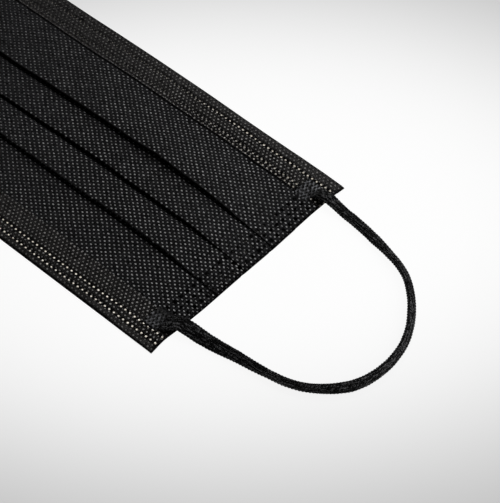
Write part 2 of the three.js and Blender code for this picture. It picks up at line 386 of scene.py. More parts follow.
def pit_shade_mask(add):
    """1 in the pits pressed into the end welds and 0 outside them."""
    place = add("ShaderNodeTexCoord").outputs["Object"]
    split = add("ShaderNodeSeparateXYZ", place)
    inward = add("SUBTRACT", HALF * MM, add("ABSOLUTE", split.outputs[0]))
    away = []
    for value, first, pitch, count in (
        (inward, PIT_COLUMNS[0], PIT_COLUMNS[1] - PIT_COLUMNS[0], len(PIT_COLUMNS)),
        (split.outputs[1], from_chin(PIT_LOW), PIT_PITCH, 1 + (PIT_HIGH - PIT_LOW) // PIT_PITCH),
    ):
        step = add("MULTIPLY_ADD", value, 1 / (pitch * MM), -first / pitch)
        nearest = add("MAXIMUM", add("ROUND", step), 0.0)
        nearest = add("MINIMUM", nearest, count - 1)
        away.append(add("MULTIPLY", add("SUBTRACT", step, nearest), pitch))
    off = add("ShaderNodeCombineXYZ", *away)
    off = add("ShaderNodeVectorMath", off, operation="LENGTH").outputs[1]
    return add("ShaderNodeMapRange", off, *PIT_SHADE, interpolation_type="SMOOTHSTEP")


POLYPROPYLENE_IOR = 1.49
NYLON_IOR = 1.53


def spunbond_material(name, fibre, bond, lattice, bond_rough, relief, pits=False):
    """Spunbond polypropylene: a matte web of fine fibres, fused to small glossy film ovals by a heated
    engraved roller. The eye sees a dull black ground with a regular glint of dots: their pale colour is a
    painted glint, each sits in painted dimple shade, and the web is black where a weld presses it and where
    shade is painted under folds, in pits and along edges."""
    material, add = new_material(name)
    place = cloth_place(add)
    distance, tone = dot_lattice(add, place, *lattice)
    # A dot fades out round its rim, and the painted shade of its dimple reaches 2.8 times as far.
    mask = add("ShaderNodeMapRange", distance, 1.2, 0.65, interpolation_type="SMOOTHSTEP")
    painted_dimple_shade = add("ShaderNodeMapRange", distance, 2.8, 1.3, interpolation_type="SMOOTHSTEP")
    web = fibre_web(add, place)
    crush = add("ShaderNodeAttribute", attribute_name="crush").outputs["Fac"]
    # The pits are painted black: painted shade in their hollows.
    if pits:
        crush = add("MAXIMUM", crush, pit_shade_mask(add))
    # Where plain is high, less of both the painted glint and the painted dimple shade is seen.
    plain = add("ShaderNodeAttribute", attribute_name="plain").outputs["Fac"]
    keep = add("MULTIPLY_ADD", plain, -0.68, 1.0)
    mask = add("MULTIPLY", mask, keep)
    painted_dimple_shade = add("MULTIPLY", painted_dimple_shade, keep)
    # The web between the dots: threads and gaps, darkened by painted shade in a dimple, paler where the dots
    # are faint.
    shade = add("MAXIMUM", add("MULTIPLY_ADD", web, 7.0, -2.15), 0.05)
    shade = add("MULTIPLY", shade, add("MULTIPLY_ADD", painted_dimple_shade, -0.97, 1.0))
    shade = add("MULTIPLY", shade, add("MULTIPLY_ADD", plain, 0.38, 1.0))
    ground = add("ShaderNodeVectorMath", {0: fibre, 3: shade}, operation="SCALE")
    # Each dot has its own brightness.
    tone = add("MULTIPLY_ADD", add("POWER", tone, 2.0), 0.9, 0.55)
    strength = add("MULTIPLY", mask, tone)
    dotted = {0: strength, 6: ground, 7: (*bond, 1)}
    colour = add("ShaderNodeMix", dotted, data_type="RGBA").outputs[2]
    # What the pressed web and the painted shade leave of the light; below 0 a painted highlight brightens
    # it.
    left = add("MULTIPLY_ADD", crush, -0.97, 1.0)
    colour = add("ShaderNodeVectorMath", {0: colour, 3: left}, operation="SCALE")
    rough = add("ShaderNodeMapRange", {0: strength, 3: 0.8, 4: bond_rough})
    height = add("MULTIPLY_ADD", web, 0.35, add("MULTIPLY", mask, -1.0))
    bump = add("ShaderNodeBump", {"Height": height, "Distance": relief * MM, "Strength": 0.8})
    looks = {"Base Color": colour, "Roughness": rough, "Normal": bump}
    finish_material(add, {**looks, "IOR": POLYPROPYLENE_IOR, "Specular IOR Level": 0.01})
    return material


def hem_ply_material(hem, name):
    """The finer ply that faces the skin and is folded over the edges."""
    lattice = [v / MM for v in (hem.bond_pitch, hem.bond_rows, hem.bond_size, hem.bond_width)]
    return spunbond_material(name, hem.fibre, hem.bond, lattice, bond_rough=0.42, relief=0.1)


def cut_edge_material():
    """Cut edge, sealed by the welding horn: thin black film with a low gloss, rippled every 0.5 mm."""
    material, add = new_material("cut edge, fused polypropylene")
    grain = add("ShaderNodeTexNoise", {"Vector": cloth_place(add), "Scale": 2.0, "Detail": 3.0})
    rough = add("MULTIPLY_ADD", grain, 0.4, 0.35)
    film = {0: grain, 6: (*srgb("030303"), 1), 7: (*srgb("0e0e0e"), 1)}
    tint = add("ShaderNodeMix", film, data_type="RGBA").outputs[2]
    looks = {"Base Color": tint, "Roughness": rough}
    finish_material(add, {**looks, "IOR": POLYPROPYLENE_IOR, "Specular IOR Level": 0.2})
    return material


def weld_dot_material(colour):
    """Ultrasonic weld dots: the pale filter ply melts through the black one and sets as glossy film, so
    each dot is a small bright point, some fainter than others."""
    material, add = new_material("weld dot, melted polypropylene film")
    tone = add("ShaderNodeAttribute", attribute_name="tone").outputs["Fac"]
    tint = add("ShaderNodeVectorMath", {0: colour, 3: tone}, operation="SCALE")
    looks = {"Base Color": tint, "Roughness": 0.27}
    finish_material(add, {**looks, "IOR": POLYPROPYLENE_IOR, "Specular IOR Level": 1.0})
    return material


def knurl_material(colour):
    """Loop weld: yarn pressed and melted under a toothed horn. The eye sees black pits, painted black as
    painted shade, and between them patches of yarn with a hard, slightly blue gloss, painted into the melt's
    pale colour as a painted highlight."""
    material, add = new_material("loop weld, knurled melted yarn")
    place = add("ShaderNodeTexCoord").outputs["Object"]
    # Melted yarn ends are 0.1 mm thick. They are drawn 0.45 mm coarse, to show, in patches of 1.1 mm.
    grain = add("ShaderNodeTexNoise", {"Vector": place, "Scale": 2200.0, "Detail": 3.0})
    patch = add("ShaderNodeTexNoise", {"Vector": place, "Scale": 900.0, "Detail": 2.0})
    # knurl holds painted shade: black in the pits and on the rim, and darker off the hem.
    pressed = add("ShaderNodeAttribute", attribute_name="knurl").outputs["Fac"]
    open_part = add("POWER", add("SUBTRACT", 1.0, pressed, use_clamp=True), 1.6)
    shade = add("MULTIPLY", add("MULTIPLY_ADD", grain, 0.8, 0.4), open_part)
    patch = add("MULTIPLY_ADD", patch, 5.0, -2.05, use_clamp=True)
    shade = add("MULTIPLY", shade, patch)
    tint = add("ShaderNodeVectorMath", {0: colour, 3: shade}, operation="SCALE")
    rough = add("MULTIPLY_ADD", grain, 0.3, 0.25)
    bump = add("ShaderNodeBump", {"Height": grain, "Distance": 0.08 * MM, "Strength": 0.6})
    looks = {"Base Color": tint, "Roughness": rough, "Normal": bump}
    finish_material(add, {**looks, "IOR": POLYPROPYLENE_IOR, "Specular IOR Level": 0.15})
    return material


def elastic_material(colour):
    """Knitted elastic: fine matte nylon loops in lengthwise ribs. The eye sees soft dull ribs, with
    slanted stitches too fine to count. The yarn's turns repeat every 0.62 mm; single filaments, of 0.02 mm,
    are too fine to show, so the fuzz draws clumps of 0.45 mm."""
    material, add = new_material("ear elastic, knitted nylon and elastane")
    place = add("ShaderNodeAttribute", attribute_name="loop_mm").outputs["Vector"]
    split = add("ShaderNodeSeparateXYZ", place)
    slant = add("PINGPONG", split.outputs[1], 0.4)
    stitch = add("MULTIPLY_ADD", slant, 0.9, split.outputs[0])
    course = add("SINE", add("MULTIPLY", stitch, 2 * math.pi / 0.62))
    drawn = add("ShaderNodeMapping", {"Vector": place, "Scale": (0.3, 1.1, 1.0)})
    fuzz = {"Vector": drawn, "Scale": 2.2, "Detail": 3.0, "Roughness": 0.7}
    fuzz = add("ShaderNodeTexNoise", fuzz)
    height = add("MULTIPLY_ADD", fuzz, 1.2, add("MULTIPLY", course, 0.35))
    # Dark grooves between the ribs are painted shade.
    crest = add("SUBTRACT", 1.0, split.outputs[2], use_clamp=True)
    shade = add("MULTIPLY_ADD", fuzz, 14.0, add("MULTIPLY_ADD", course, 0.6, -6.9))
    shade = add("MULTIPLY", shade, add("POWER", crest, 2.2), use_clamp=True)
    tint = add("ShaderNodeVectorMath", {0: colour, 3: shade}, operation="SCALE")
    bump = add("ShaderNodeBump", {"Height": height, "Distance": 0.12 * MM, "Strength": 0.9})
    looks = {"Base Color": tint, "Roughness": 0.75, "Normal": bump}
    finish_material(add, {**looks, "IOR": NYLON_IOR, "Specular IOR Level": 0.06})
    return material


# ---------------------------------------------------------------- cloth shapes


def smooth_step(t):
    """0 below 0, 1 above 1, and a smooth rise between."""
    t = np.clip(t, 0.0, 1.0)
    return t * t * (3 - 2 * t)


def from_chin(height):
    """y of a height above the chin edge."""
    return CHIN_EDGE + height


def wander(x, y, seed, scale):
    """A smooth random value from about -1 to 1 that changes over lengths of about scale."""
    return noise.noise(Vector((x / scale, y / scale, seed)))


def openness(x):
    """How open the cloth's layers are at x: 1 in the middle, 0 in the welded bands."""
    return float(smooth_step((HALF - BAND - abs(x)) / PRESS_RUN))


def end_draw(y):
    """How far the end edge is drawn in at y."""
    heights, draws = zip(*END_DRAW)
    return np.interp(np.asarray(y) - CHIN_EDGE, heights, draws)


def heights_through(knots, y):
    """Heights at y on a smooth curve through (y, height) knots that doesn't overshoot them."""
    knot_y, knot_z = np.array(sorted(map(tuple, knots))).T
    step = np.diff(knot_y)
    slope = np.diff(knot_z) / step
    both = slope[:-1] * slope[1:]
    tangent = np.zeros(len(knot_y))
    tangent[1:-1] = np.divide(2 * both, slope[:-1] + slope[1:], out=np.zeros(len(both)), where=both > 0)
    i = np.clip(np.searchsorted(knot_y, y) - 1, 0, len(step) - 1)
    t = (y - knot_y[i]) / step[i]
    rise = t * t * (3 - 2 * t)
    start = t * (1 - t) ** 2 * step[i] * tangent[i]
    end = t * t * (1 - t) * step[i] * tangent[i + 1]
    return knot_z[i] * (1 - rise) + knot_z[i + 1] * rise + start - end


def at_station(x):
    """The mask's measures at x."""
    known = np.array(STATIONS)
    return Station(x, *(float(heights_through(known[:, [0, i]], x)) for i in range(1, known.shape[1])))


def half_turn(y, z, radius, side, count=6):
    """Points on a half circle from the top down, bulging towards side (1 or -1) in y."""
    turn = np.linspace(0, math.pi, count + 2)[1:-1]
    return np.column_stack([y + side * radius * np.sin(turn), z + radius * np.cos(turn)])


FINE = 0.36  # spacing of the cloth's points where it shows


def fine_line(start, end, length):
    """Evenly spaced y from start to end, as many as a visible run of about length needs."""
    return np.linspace(start, end, round(length / FINE))


def faint_dot_glint(x, y):
    """How faint the bond dots are drawn at x and y: their painted glint fades towards the left end, and they
    are a little faint on the panels above the second pleat."""
    along = smooth_step((60.0 - x) / 130.0)
    return np.maximum(along, 0.25 * smooth_step((np.asarray(y) - from_chin(44.0)) / 5.0))


def marked(y, z, crush=0.0, plain=0.0):
    """Rows of (y, z, darkness, plain). darkness: how black the web is, where it is pressed and where shade
    is painted, or, below 0, how pale a cut edge is painted as a highlight. plain: how faint the bond dots
    are."""
    return np.column_stack([y, z, *(np.broadcast_to(mark, np.shape(y)) for mark in (crush, plain))])


class ClothShape:
    """The pleated cloth's middle line at each x."""

    def __init__(self, cloth, hem):
        self.full = cloth.thickness / MM
        self.slack = cloth.slack / MM
        self.bed = hem.thickness / MM + PLY_GAP  # the hems' undersides lie below the cloth's edges

    def thickness(self, x):
        """The cloth's thickness: the welds press it to half."""
        return self.full * (0.5 + 0.5 * openness(x))

    def pitch(self, x):
        """Spacing of the folded layers."""
        return self.thickness(x) + WELD_GAP + (self.slack - WELD_GAP) * openness(x)

    def hem_top(self, x):
        """Height of the cloth's face under the hems."""
        return self.bed + self.thickness(x)

    def painted_fold_shade(self, number, x, away):
        """Painted shade on the web at distances out from under a pleat's fold."""
        dark, run = PLEAT_SHADES[number]
        return dark * openness(x) * np.exp(-((away / run) ** 2))

    def path(self, x):
        """Marked rows down the cloth, from the nose edge to the chin edge."""
        at = at_station(x)
        low = self.thickness(x) / 2 + 0.01
        flat = self.bed + self.thickness(x) / 2
        pitch = self.pitch(x)
        radius = pitch / 2
        hem = from_chin(at.hem)
        under_hem = np.linspace(from_chin(at.nose) - 0.75, hem + 0.5, 8)
        rows = [marked(under_hem, np.full(8, flat))]
        knots = [(hem + 0.5, flat), (hem - 0.3, flat + 0.1), (hem - 1.4, flat + 0.2)]
        start, shown, seen_from = None, hem + 0.1, NOSE_HEM_EDGE
        for number in range(PLEAT_COUNT):
            # This pleat's fold and root, a little uneven between the bands.
            fold, rise, mouth = at[3 + 3 * number : 6 + 3 * number]
            fold = from_chin(fold) + 0.12 * openness(x) * wander(x, 9.0 * number, 3.1, 14.0)
            root = fold + PLEAT_DEPTH
            rise = rise + 0.1 * openness(x) * wander(x, number, 7.7, 11.0)
            mouth = min(mouth, rise)
            # The panel down to the fold. Its number of points is the same at every x.
            nominal = from_chin(STATIONS[len(STATIONS) // 2][3 + 3 * number])
            knots += [(root, low + 2 * pitch + 0.45 * rise), (fold + radius, low + 2 * pitch + rise)]
            hidden = np.linspace(start, shown, 7)[:-1] if number else np.empty(0)
            y = np.concatenate([hidden, fine_line(shown, fold + radius, seen_from - nominal)])
            if number:
                crush = self.painted_fold_shade(number - 1, x, shown - y)
            else:
                crush = 0.4 * np.exp(-(((y - hem + 0.1) / 0.2) ** 2))  # in the hem's shadow
            rows.append(marked(y, heights_through(knots, y), crush))
            # Round the fold, with painted shade on its turn, back up under the panel, and round the root.
            rows.append(marked(*half_turn(fold + radius, low + 1.5 * pitch + rise, radius, -1).T, 0.9))
            y = np.linspace(fold + radius, root - radius, 8)
            ease = smooth_step((root - y) / PLEAT_DEPTH)
            rows.append(marked(y, low + pitch + rise * ease))
            rows.append(marked(*half_turn(root - radius, low + radius, radius, 1).T))
            knots = [(root - radius, low), (fold, low + rise - mouth)]
            start, shown, seen_from = root - radius, fold + radius, nominal
        knots += [(CHIN_HEM_EDGE + 1.0, flat + 0.05), (CHIN_HEM_EDGE - 0.5, flat)]
        hidden = np.linspace(start, shown, 7)[:-1]
        y = np.concatenate([hidden, fine_line(shown, CHIN_HEM_EDGE - 0.1, seen_from - CHIN_HEM_EDGE)])
        rows.append(marked(y, heights_through(knots, y), self.painted_fold_shade(PLEAT_COUNT - 1, x, shown - y)))
        under_hem = np.linspace(CHIN_HEM_EDGE - 0.5, CHIN_EDGE + 0.5, 8)
        rows.append(marked(under_hem, np.full(8, flat)))
        rows = np.concatenate(rows)
        rows[:, 3] = faint_dot_glint(x, rows[:, 0])
        return rows


def stations(middle_step, end_step):
    """x of the cloth's sections, closer together in the welded bands."""
    inner = HALF - BAND - 0.5
    middle = np.linspace(-inner, inner, 1 + 2 * round(inner / middle_step))
    band = np.linspace(inner, HALF, 1 + round((BAND + 0.5) / end_step))[1:]
    return np.concatenate([-band[::-1], middle, band])


PIT_COLUMNS = (2.6, 5.7, 8.8)  # distances in from the end edge
PIT_PITCH = 3.12
PIT_LOW, PIT_HIGH = 16.7, 80.0  # heights above the chin edge
PIT_RADIUS, PIT_RIM = 0.5, 0.35  # a pit is flat inside its radius, and its rim rises over this width
PIT_SHADE = (0.74, 0.54)  # its painted shade is black inside the second distance, and ends at the first


def pit_depth(x, y):
    """How deep the end welds' embossed pits press the cloth, 0 to 1."""
    depth = np.zeros(np.shape(y))
    height = y - CHIN_EDGE
    row = np.round((height - PIT_LOW) / PIT_PITCH) * PIT_PITCH + PIT_LOW
    inside = (row > PIT_LOW - 1) & (row < PIT_HIGH)
    for column in PIT_COLUMNS:
        away = np.hypot(np.abs(x) - (HALF - column), height - row)
        depth = np.maximum(depth, 1 - smooth_step((away - PIT_RADIUS) / PIT_RIM))
    return depth * inside


def close_strip(name, xs, paths, thickness, pits=False):
    """A closed sheet: the middle lines at each x, given thickness. Its face has material 0, its back
    material 1 and its cut edges material 2. paths has marked rows for each x."""
    rows = np.asarray(paths)
    lines, crush, plain = rows[..., :2], rows[..., 2], rows[..., 3]
    count, length = crush.shape
    along = np.gradient(lines, axis=1)
    along /= np.linalg.norm(along, axis=2, keepdims=True)
    out = np.stack([along[..., 1], -along[..., 0]], axis=2)
    half = np.asarray(thickness)[:, None, None] / 2
    # How far each row lies down the unfolded cloth, measured on one section.
    steps = np.linalg.norm(np.diff(lines[count // 4], axis=0), axis=1)
    down = np.concatenate([[0.0], np.cumsum(steps)])
    x, down = np.meshgrid(xs, down, indexing="ij")
    inward = HALF - np.abs(x)
    # The last millimetre of each end is painted black: painted shade along the end edge.
    crush = np.maximum(crush, 1 - smooth_step((inward - 0.5) / 0.5))
    sealed = 1 - smooth_step(inward / SEALED)
    near_end = smooth_step((DRAW_RUN - inward) / DRAW_RUN)
    points, marks = [], []
    for side in (1, -1):
        section = lines + side * half * out
        place = np.dstack([x, section])
        if pits:
            place[..., 2] *= 1 - 0.55 * pit_depth(x, section[..., 0])
        place[..., 2] *= 1 - 0.5 * sealed
        place[..., 0] -= np.sign(x) * near_end * end_draw(section[..., 0])
        points.append(place.reshape(-1, 3))
        marks.append(np.dstack([x, down, np.full(x.shape, side)]).reshape(-1, 3))
    grid = np.arange(count * length).reshape(count, length)
    face = np.stack([grid[:-1, :-1], grid[:-1, 1:], grid[1:, 1:], grid[1:, :-1]], axis=-1).reshape(-1, 4)
    back = face[:, ::-1] + count * length
    rims = []
    for line, flip in ((grid[0], True), (grid[-1], False), (grid[:, 0], False), (grid[:, -1], True)):
        low, high = line[:-1], line[1:]
        rim = np.stack([low, high, high + count * length, low + count * length], axis=-1)
        rims.append(rim[:, ::-1] if flip else rim)
    rims = np.concatenate(rims)
    slots = np.repeat([0, 1, 2], [len(face), len(back), len(rims)])
    obj = new_mesh(name, np.concatenate(points), np.concatenate([face, back, rims]), slots)
    store(obj, "cloth_mm", np.concatenate(marks))
    store(obj, "crush", np.tile(crush.ravel(), 2))
    store(obj, "plain", np.tile(plain.ravel(), 2))
    return obj


def mesh_object(mesh):
    """A new object with this mesh and its name, in the scene."""
    obj = bpy.data.objects.new(mesh.name, mesh)
    bpy.context.collection.objects.link(obj)
    return obj


def new_mesh(name, points, faces, slots=None):
    """A smooth-shaded mesh object. points are in millimetres."""
    mesh = bpy.data.meshes.new(name)
    mesh.from_pydata((np.asarray(points) * MM).tolist(), [], [list(map(int, f)) for f in faces])
    if slots is not None:
        mesh.polygons.foreach_set("material_index", slots)
    mesh.shade_smooth()
    mesh.validate()
    mesh.update()
    return mesh_object(mesh)


def store(obj, name, values):
    """Keeps a number or a vector for each point of a mesh, for its material."""
    values = np.asarray(values, dtype=np.float32)
    kind, field = ("FLOAT", "value") if values.ndim == 1 else ("FLOAT_VECTOR", "vector")
    obj.data.attributes.new(name, kind, "POINT").data.foreach_set(field, values.ravel())


def declare(obj, slot, *nodes):
    """Puts a finished piece on the frame."""
    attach(obj, "root")
    if nodes:
        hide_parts(*nodes)


# ---------------------------------------------------------------- pieces


class MASK_OT_pleated_cloth(bpy.types.Operator):
    """Makes the pleated cloth with its welded end bands"""

    bl_idname = "mask.pleated_cloth"
    bl_label = "Pleated cloth"

    def execute(self, context):
        cloth, hem = context.scene.mask_cloth, context.scene.mask_hem
        shape = ClothShape(cloth, hem)
        xs = stations(middle_step=2.4, end_step=0.36)
        paths = [shape.path(x) for x in xs]
        thickness = [shape.thickness(x) for x in xs]
        obj = close_strip("pleated_cloth", xs, paths, thickness, pits=True)
        lattice = [v / MM for v in (cloth.bond_pitch, cloth.bond_rows, cloth.bond_size, cloth.bond_width)]
        name = "outer ply, spunbond polypropylene"
        outer = spunbond_material(
            name, cloth.fibre, cloth.bond, lattice, bond_rough=0.34, relief=0.14, pits=True
        )
        inner = hem_ply_material(hem, "inner ply, spunbond polypropylene")
        for material in (outer, inner, cut_edge_material()):
            obj.data.materials.append(material)
        declare(obj, "outer_cloth", "pleated_body")
        return {"FINISHED"}


class HemShape:
    """One hem's middle line at each x. side is 1 at the nose edge and -1 at the chin edge."""

    def __init__(self, side, rows, cloth_shape, hem):
        self.side = side
        self.rows = rows
        self.cloth = cloth_shape
        self.thick = hem.thickness / MM

    def row_y(self, row, x):
        """y of a row of weld dots at x."""
        if self.side > 0:
            return from_chin(row.offset + at_station(x).hem)
        return from_chin(row.offset - CHIN_DRIFT * smooth_step((HALF - np.abs(x)) / 50))

    def swell(self, x, y):
        """How far the hem puffs up between its rows of weld dots, least in the welded bands."""
        held = np.ones(np.shape(y))
        for row in self.rows:
            held *= 1 - 0.95 * np.exp(-(((y - self.row_y(row, x)) / ROW_MARK) ** 2))
        return HEM_SWELL * held * (0.3 + 0.7 * openness(x))

    def path(self, x):
        """Marked rows from under the edge, round it and along the top to the hem's inner edge."""
        at = at_station(x)
        edge = from_chin(at.nose) if self.side > 0 else CHIN_EDGE - CHIN_OVERHANG
        inner = from_chin(at.hem) if self.side > 0 else CHIN_HEM_EDGE
        inner += 0.12 * wander(x, 5.0 * self.side, 11.3, 9.0)
        under = self.thick / 2 + 0.005
        over = self.cloth.hem_top(x) + PLY_GAP + self.thick / 2
        radius = (over - under) / 2
        turn_y = edge - self.side * (radius + self.thick / 2)
        tuck = np.linspace(turn_y - self.side * HEM_TUCK, turn_y, 6)
        top = np.linspace(turn_y, inner, 46)
        rise = self.swell(x, top) * smooth_step(np.abs(top - turn_y) / 1.2)
        # The inner edge curls up a little.
        lip = 0.06 * smooth_step(1 - np.abs(top - inner) / 1.3) * (0.3 + openness(x))
        # Painted shade blackens the ply where it turns over the edge; it fades to dark at the left, and is
        # pressed black along each row of weld dots.
        crush = 0.9 - 0.9 * smooth_step(np.abs(top - turn_y) / (0.5 if self.side > 0 else 0.3))
        crush = np.maximum(crush, 0.3 * smooth_step((30.0 - x) / 80.0))
        for row in self.rows:
            start, full = row.weak
            pressed = 0.95 * (0.4 + 0.6 * smooth_step((abs(x - WEAK_PLACE) - start) / (full - start)))
            crush = np.maximum(crush, pressed * np.exp(-(((top - self.row_y(row, x)) / ROW_MARK) ** 2)))
        if self.side < 0:
            # Painted shadow of the loop: a black patch at the chin hem's end.
            inward = HALF - abs(x)
            patch = smooth_step((5.2 - inward) / 0.8) * (0.9 - 0.9 * smooth_step((0.8 - inward) / 0.5))
            crush = np.maximum(crush, patch * smooth_step(1.5 - np.abs(top - from_chin(9.0)) / 1.2))
        # The hem's inner cut edge is painted pale: a painted highlight where it catches the light.
        pale = np.exp(-(((np.abs(top - inner) - 0.1) / 0.2) ** 2))
        crush = crush - 1.6 * pale * (0.4 + 0.6 * openness(x))
        # The bond dots are faint outside the outer row of weld dots.
        outer = max(self.side * self.row_y(row, x) for row in self.rows)
        plain = 0.6 * smooth_step((self.side * top - outer - 0.5) / 0.8)
        plain = np.maximum(plain, faint_dot_glint(x, CHIN_EDGE))
        arc = half_turn(turn_y, (over + under) / 2, radius, self.side, 7)[::-1]
        # Painted shade darkens the ply's turn over the edge.
        arc_painted_shade = 1 - 0.1 * smooth_step((arc[:, 1] - under) / (over - under) * 2 - 1)
        below = marked(tuck, np.full(len(tuck), under))
        face = marked(top, over + rise + lip, crush, plain)
        path = np.concatenate([below, marked(*arc.T, arc_painted_shade), face])
        return path if self.side > 0 else path[::-1]


class MASK_OT_hems(bpy.types.Operator):
    """Makes the two hems folded over the long edges"""

    bl_idname = "mask.hems"
    bl_label = "Hems"

    def execute(self, context):
        cloth, hem = context.scene.mask_cloth, context.scene.mask_hem
        cloth_shape = ClothShape(cloth, hem)
        material = hem_ply_material(hem, "hem, folded spunbond polypropylene")
        cut_edge = cut_edge_material()
        xs = stations(middle_step=0.9, end_step=0.7)
        for name, side, rows in HEMS:
            shape = HemShape(side, rows, cloth_shape, hem)
            paths = [shape.path(x) for x in xs]
            obj = close_strip(f"{name}_ply", xs, paths, [shape.thick] * len(xs))
            for part in (material, material, cut_edge):
                obj.data.materials.append(part)
            declare(obj, "hem_cloth", name)
        return {"FINISHED"}


def dot_mesh(name, length, width):
    """A small flat drop of melted film with a soft rim, round the origin."""
    sides = 10
    rings = ((0.5, -0.12), (0.46, 0.04), (0.28, 0.055))  # shares of its size, and heights
    turn = np.arange(sides) * 2 * math.pi / sides
    points = [(length * r * math.cos(a), width * r * math.sin(a), z) for r, z in rings for a in turn]
    points.append((0.0, 0.0, 0.06))
    faces = []
    last = (len(rings) - 1) * sides
    for low in range(0, last, sides):
        for i in range(sides):
            j = (i + 1) % sides
            faces.append([low + i, low + j, low + sides + j, low + sides + i])
    faces += [[last + i, last + (i + 1) % sides, len(points) - 1] for i in range(sides)]
    faces.append(list(range(sides))[::-1])
    return new_mesh(name, points, faces)


def dot_row_tree():
    """Geometry Nodes: weld dots spaced along the row's line, dropped onto the hem below it."""
    tree = bpy.data.node_groups.new("Weld dot row", "GeometryNodeTree")
    for name, kind in (
        ("Row", "Geometry"),
        ("Hem", "Object"),
        ("Dot", "Object"),
        ("Material", "Material"),
        ("Pitch", "Float"),
        ("Bright", "Float"),
        ("Weak at", "Float"),
        ("Full at", "Float"),
        ("Scatter", "Float"),
        ("Seed", "Int"),
    ):
        tree.interface.new_socket(name, in_out="INPUT", socket_type="NodeSocket" + kind)
    tree.interface.new_socket("Dots", in_out="OUTPUT", socket_type="NodeSocketGeometry")
    add = partial(add_node, tree)
    given = add("NodeGroupInput").outputs

    line = add("GeometryNodeMeshToCurve", given["Row"])
    spaced = {"Curve": line, "Length": given["Pitch"]}
    line = add("GeometryNodeResampleCurve", spaced, mode="LENGTH")
    line = add("GeometryNodeCurveToPoints", {"Curve": line}, mode="EVALUATED")

    # Random strays along and across the row, sizes and tones, each with its own seed.
    seeds = [add("ADD", given["Seed"], more) for more in (0.0, 7.0, 19.0)]
    stray = {0: (-1.0, -1.0, 0.0), 1: (1.0, 1.0, 0.0), "Seed": seeds[0]}
    stray = add("FunctionNodeRandomValue", stray, data_type="FLOAT_VECTOR")
    stray = add("ShaderNodeVectorMath", {0: stray, 3: given["Scatter"]}, operation="SCALE")
    size, tone = (
        add("FunctionNodeRandomValue", {2: low, 3: high, "Seed": seed}, data_type="FLOAT").outputs[1]
        for low, high, seed in ((0.9, 1.1, seeds[1]), (0.85, 1.0, seeds[2]))
    )

    line = add("GeometryNodeSetPosition", {"Geometry": line, "Offset": stray})
    hem = add("GeometryNodeObjectInfo", given["Hem"], transform_space="RELATIVE")
    down = {"Ray Direction": (0.0, 0.0, -1.0), "Ray Length": 100 * MM}
    ray = add("GeometryNodeRaycast", {"Target Geometry": hem.outputs["Geometry"], **down})
    missed = add("SUBTRACT", 1.0, ray.outputs["Is Hit"])
    line = add("GeometryNodeDeleteGeometry", line, missed)
    dropped = {"Geometry": line, "Position": ray.outputs["Hit Position"]}
    line = add("GeometryNodeSetPosition", dropped)

    # Towards WEAK_PLACE the dots are smaller and darker.
    place = add("ShaderNodeSeparateXYZ", add("GeometryNodeInputPosition"))
    away = add("ABSOLUTE", add("SUBTRACT", place.outputs[0], WEAK_PLACE * MM))
    weak = (away, given["Weak at"], given["Full at"])
    full = add("ShaderNodeMapRange", *weak, interpolation_type="SMOOTHSTEP")
    size = add("MULTIPLY", size, add("MULTIPLY_ADD", full, 0.5, 0.5))
    tone = add("MULTIPLY", tone, add("MULTIPLY_ADD", full, 0.65, 0.35))
    tone = add("MULTIPLY", tone, given["Bright"])

    dot = add("GeometryNodeObjectInfo", given["Dot"], transform_space="ORIGINAL")
    dots = {"Points": line, "Instance": dot.outputs["Geometry"], "Scale": size}
    dots = add("GeometryNodeInstanceOnPoints", dots)
    dots = {"Geometry": dots, "Name": "tone", "Value": tone}
    dots = add("GeometryNodeStoreNamedAttribute", dots, data_type="FLOAT", domain="INSTANCE")
    solid = add("GeometryNodeRealizeInstances", dots)
    finished = {"Geometry": solid, "Material": given["Material"]}
    add("NodeGroupOutput", add("GeometryNodeSetMaterial", finished))
    return tree


def run_nodes(host, name, tree, values):
    """The plain mesh object that a Geometry Nodes tree makes of host. values maps input names to values."""
    modifier = host.modifiers.new("nodes", "NODES")
    modifier.node_group = tree
    for item in tree.interface.items_tree:
        if item.in_out == "INPUT" and item.name in values:
            modifier[item.identifier] = values[item.name]
    host.update_tag()
    graph = bpy.context.evaluated_depsgraph_get()
    graph.update()
    mesh = bpy.data.meshes.new_from_object(host.evaluated_get(graph), depsgraph=graph)
    if not mesh.polygons:
        raise RuntimeError(f"the nodes made nothing for {name}")
    mesh.name = name
    host.modifiers.remove(modifier)
    bpy.data.objects.remove(host)
    return mesh_object(mesh)


def line_object(name, points):
    """A mesh of one open line through points, in millimetres."""
    mesh = bpy.data.meshes.new(name)
    edges = [(i, i + 1) for i in range(len(points) - 1)]
    mesh.from_pydata((np.asarray(points) * MM).tolist(), edges, [])
    return mesh_object(mesh)


def join(name, parts):
    """Joins mesh objects into one."""
    with bpy.context.temp_override(
        active_object=parts[0], object=parts[0], selected_editable_objects=parts, selected_objects=parts
    ):
        bpy.ops.object.join()
    parts[0].name = name
    parts[0].data.name = name
    return parts[0]


ABOVE = 20.0  # a height clear of the whole mask, from which the dots drop
DOT_SCATTER = 0.05  # a dot strays this far from its place in the row
FIRST_SEED = 5  # of the first row's random strays, sizes and tones


